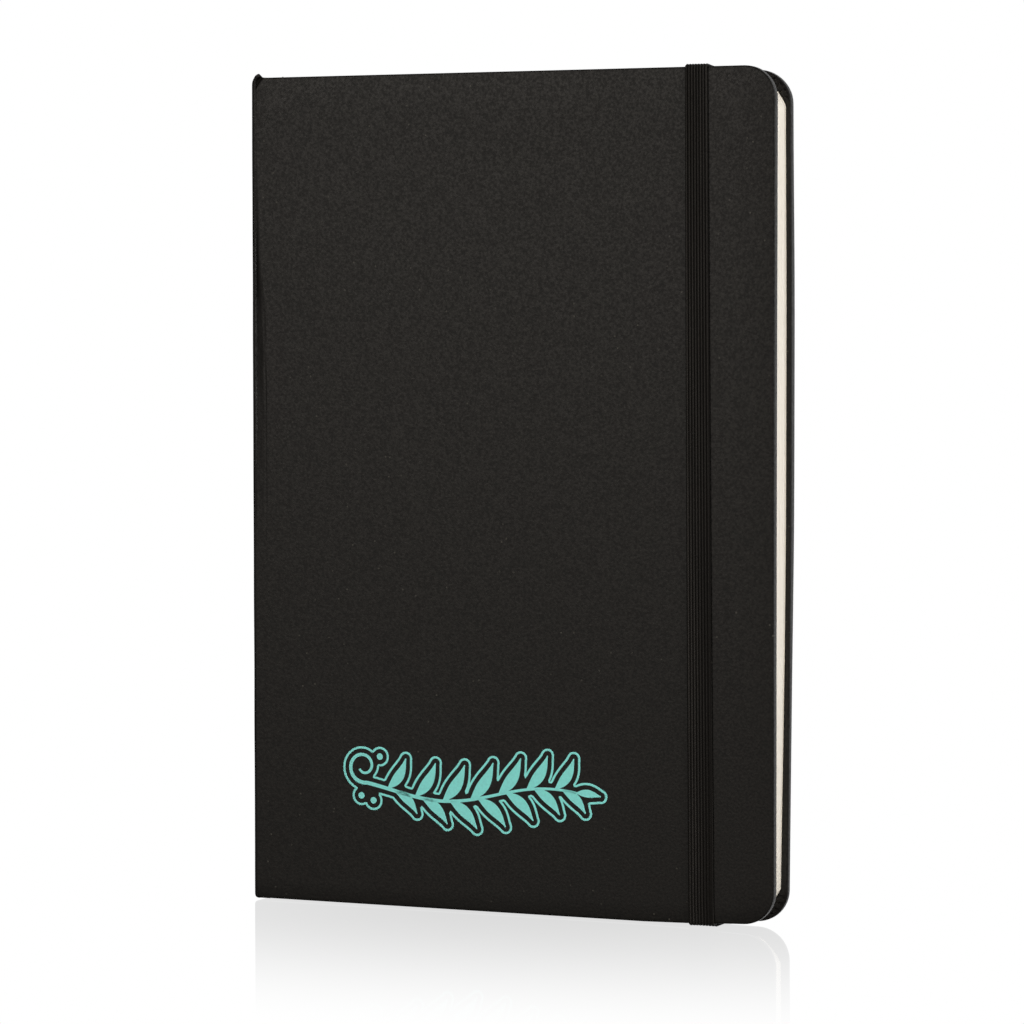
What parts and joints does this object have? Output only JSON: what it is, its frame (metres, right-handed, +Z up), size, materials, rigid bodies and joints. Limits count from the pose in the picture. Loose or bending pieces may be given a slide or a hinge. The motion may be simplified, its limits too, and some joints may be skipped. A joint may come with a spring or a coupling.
{
  "type": "hardcover sketchbook",
  "caption": "Black hardcover sketchbook with a leather-look cover, cream pages that turn, two hinged boards and an elastic band that holds it shut.",
  "frame": {"origin": "middle of the foot edge, on the plane that the closed book stands on", "axes": "+X towards the fore-edge, -Y out of the front cover, +Z up towards the head"},
  "size_m": [0.142, 0.0158, 0.2114],
  "materials": {
    "covering": "satin black leather-look coated paper with a fine grain",
    "board": "grey binder's board",
    "paper": "matt uncoated cream drawing paper",
    "endpaper": "matt uncoated cream endpaper",
    "gauze": "open weave cotton gauze",
    "thread": "waxed bookbinding thread",
    "band": "woven black band",
    "elastic": "ribbed black woven elastic",
    "print": "satin screen-print ink"
  },
  "bodies": {
    "text_block": {"spine_covering": "covering", "spine_card": "board", "spine_liner": "gauze", "headband": "band", "tailband": "band", "front_joint_covering": "covering", "front_joint_paper": "endpaper", "back_joint_covering": "covering", "back_joint_paper": "endpaper", "sewing_thread_1": "thread", "sewing_thread_2": "thread", "sewing_thread_3": "thread", "sewing_thread_4": "thread", "sewing_thread_5": "thread", "section_1": "paper", "section_2": "paper", "section_3": "paper", "section_4": "paper", "section_5": "paper", "section_6": "paper"},
    "front_cover": {"front_covering": "covering", "front_board": "board", "front_pastedown": "endpaper", "cover_print": "print"},
    "back_cover": {"back_covering": "covering", "back_board": "board", "back_pastedown": "endpaper", "elastic_anchor_head": "elastic", "elastic_anchor_tail": "elastic"},
    "front_flyleaf_sheet": {"front_flyleaf": "endpaper"},
    "front_leaf_1_sheet": {"front_leaf_1": "paper"},
    "front_leaf_2_sheet": {"front_leaf_2": "paper"},
    "front_leaf_3_sheet": {"front_leaf_3": "paper"},
    "front_leaf_4_sheet": {"front_leaf_4": "paper"},
    "front_leaf_5_sheet": {"front_leaf_5": "paper"},
    "front_leaf_6_sheet": {"front_leaf_6": "paper"},
    "back_flyleaf_sheet": {"back_flyleaf": "endpaper"},
    "back_leaf_1_sheet": {"back_leaf_1": "paper"},
    "back_leaf_2_sheet": {"back_leaf_2": "paper"},
    "back_leaf_3_sheet": {"back_leaf_3": "paper"},
    "elastic_loop": {"elastic_front_run": "elastic", "elastic_head_leg": "elastic", "elastic_tail_leg": "elastic"}
  },
  "joints": [
    {"name": "front_cover_hinge", "type": "hinge", "parent": "text_block", "child": "front_cover", "pos_m": [-0.0685, -0.00735, 0.105], "axis": [0, 0, -1], "range_deg": [0, 180], "deforming": ["front_joint_covering", "front_joint_paper"]},
    {"name": "back_cover_hinge", "type": "hinge", "parent": "text_block", "child": "back_cover", "pos_m": [-0.0685, 0.00735, 0.105], "axis": [0, 0, 1], "range_deg": [0, 180], "deforming": ["back_joint_covering", "back_joint_paper"]},
    {"name": "front_flyleaf_turn", "type": "hinge", "parent": "text_block", "child": "front_flyleaf_sheet", "pos_m": [-0.0685, -0.00735, 0.105], "axis": [0, 0, -1], "range_deg": [0, 180]},
    {"name": "front_leaf_1_turn", "type": "hinge", "parent": "text_block", "child": "front_leaf_1_sheet", "pos_m": [-0.0685, -0.00735, 0.105], "axis": [0, 0, -1], "range_deg": [0, 180]},
    {"name": "front_leaf_2_turn", "type": "hinge", "parent": "text_block", "child": "front_leaf_2_sheet", "pos_m": [-0.0685, -0.00735, 0.105], "axis": [0, 0, -1], "range_deg": [0, 180]},
    {"name": "front_leaf_3_turn", "type": "hinge", "parent": "text_block", "child": "front_leaf_3_sheet", "pos_m": [-0.0685, -0.00735, 0.105], "axis": [0, 0, -1], "range_deg": [0, 180]},
    {"name": "front_leaf_4_turn", "type": "hinge", "parent": "text_block", "child": "front_leaf_4_sheet", "pos_m": [-0.0685, -0.00735, 0.105], "axis": [0, 0, -1], "range_deg": [0, 180]},
    {"name": "front_leaf_5_turn", "type": "hinge", "parent": "text_block", "child": "front_leaf_5_sheet", "pos_m": [-0.0685, -0.00735, 0.105], "axis": [0, 0, -1], "range_deg": [0, 180]},
    {"name": "front_leaf_6_turn", "type": "hinge", "parent": "text_block", "child": "front_leaf_6_sheet", "pos_m": [-0.0685, -0.00735, 0.105], "axis": [0, 0, -1], "range_deg": [0, 180]},
    {"name": "back_flyleaf_turn", "type": "hinge", "parent": "text_block", "child": "back_flyleaf_sheet", "pos_m": [-0.0685, 0.00735, 0.105], "axis": [0, 0, 1], "range_deg": [0, 180]},
    {"name": "back_leaf_1_turn", "type": "hinge", "parent": "text_block", "child": "back_leaf_1_sheet", "pos_m": [-0.0685, 0.00735, 0.105], "axis": [0, 0, 1], "range_deg": [0, 180]},
    {"name": "back_leaf_2_turn", "type": "hinge", "parent": "text_block", "child": "back_leaf_2_sheet", "pos_m": [-0.0685, 0.00735, 0.105], "axis": [0, 0, 1], "range_deg": [0, 180]},
    {"name": "back_leaf_3_turn", "type": "hinge", "parent": "text_block", "child": "back_leaf_3_sheet", "pos_m": [-0.0685, 0.00735, 0.105], "axis": [0, 0, 1], "range_deg": [0, 180]},
    {"name": "elastic_slip", "type": "slide", "parent": "back_cover", "child": "elastic_loop", "axis": [0, 1, 0], "range_m": [0, 0.016], "deforming": ["elastic_front_run", "elastic_head_leg", "elastic_tail_leg"]}
  ],
  "couplings": [
    {"joint": "front_flyleaf_turn", "follows": "front_cover_hinge", "ratio": 0.96},
    {"joint": "front_leaf_1_turn", "follows": "front_cover_hinge", "ratio": 0.88},
    {"joint": "front_leaf_2_turn", "follows": "front_cover_hinge", "ratio": 0.78},
    {"joint": "front_leaf_3_turn", "follows": "front_cover_hinge", "ratio": 0.66},
    {"joint": "front_leaf_4_turn", "follows": "front_cover_hinge", "ratio": 0.52},
    {"joint": "front_leaf_5_turn", "follows": "front_cover_hinge", "ratio": 0.36},
    {"joint": "front_leaf_6_turn", "follows": "front_cover_hinge", "ratio": 0.18},
    {"joint": "back_flyleaf_turn", "follows": "back_cover_hinge", "ratio": 0.94},
    {"joint": "back_leaf_1_turn", "follows": "back_cover_hinge", "ratio": 0.76},
    {"joint": "back_leaf_2_turn", "follows": "back_cover_hinge", "ratio": 0.54},
    {"joint": "back_leaf_3_turn", "follows": "back_cover_hinge", "ratio": 0.28},
    {"joint": "elastic_slip", "follows": "front_cover_hinge", "m_per_rad": 0.005061}
  ]
}
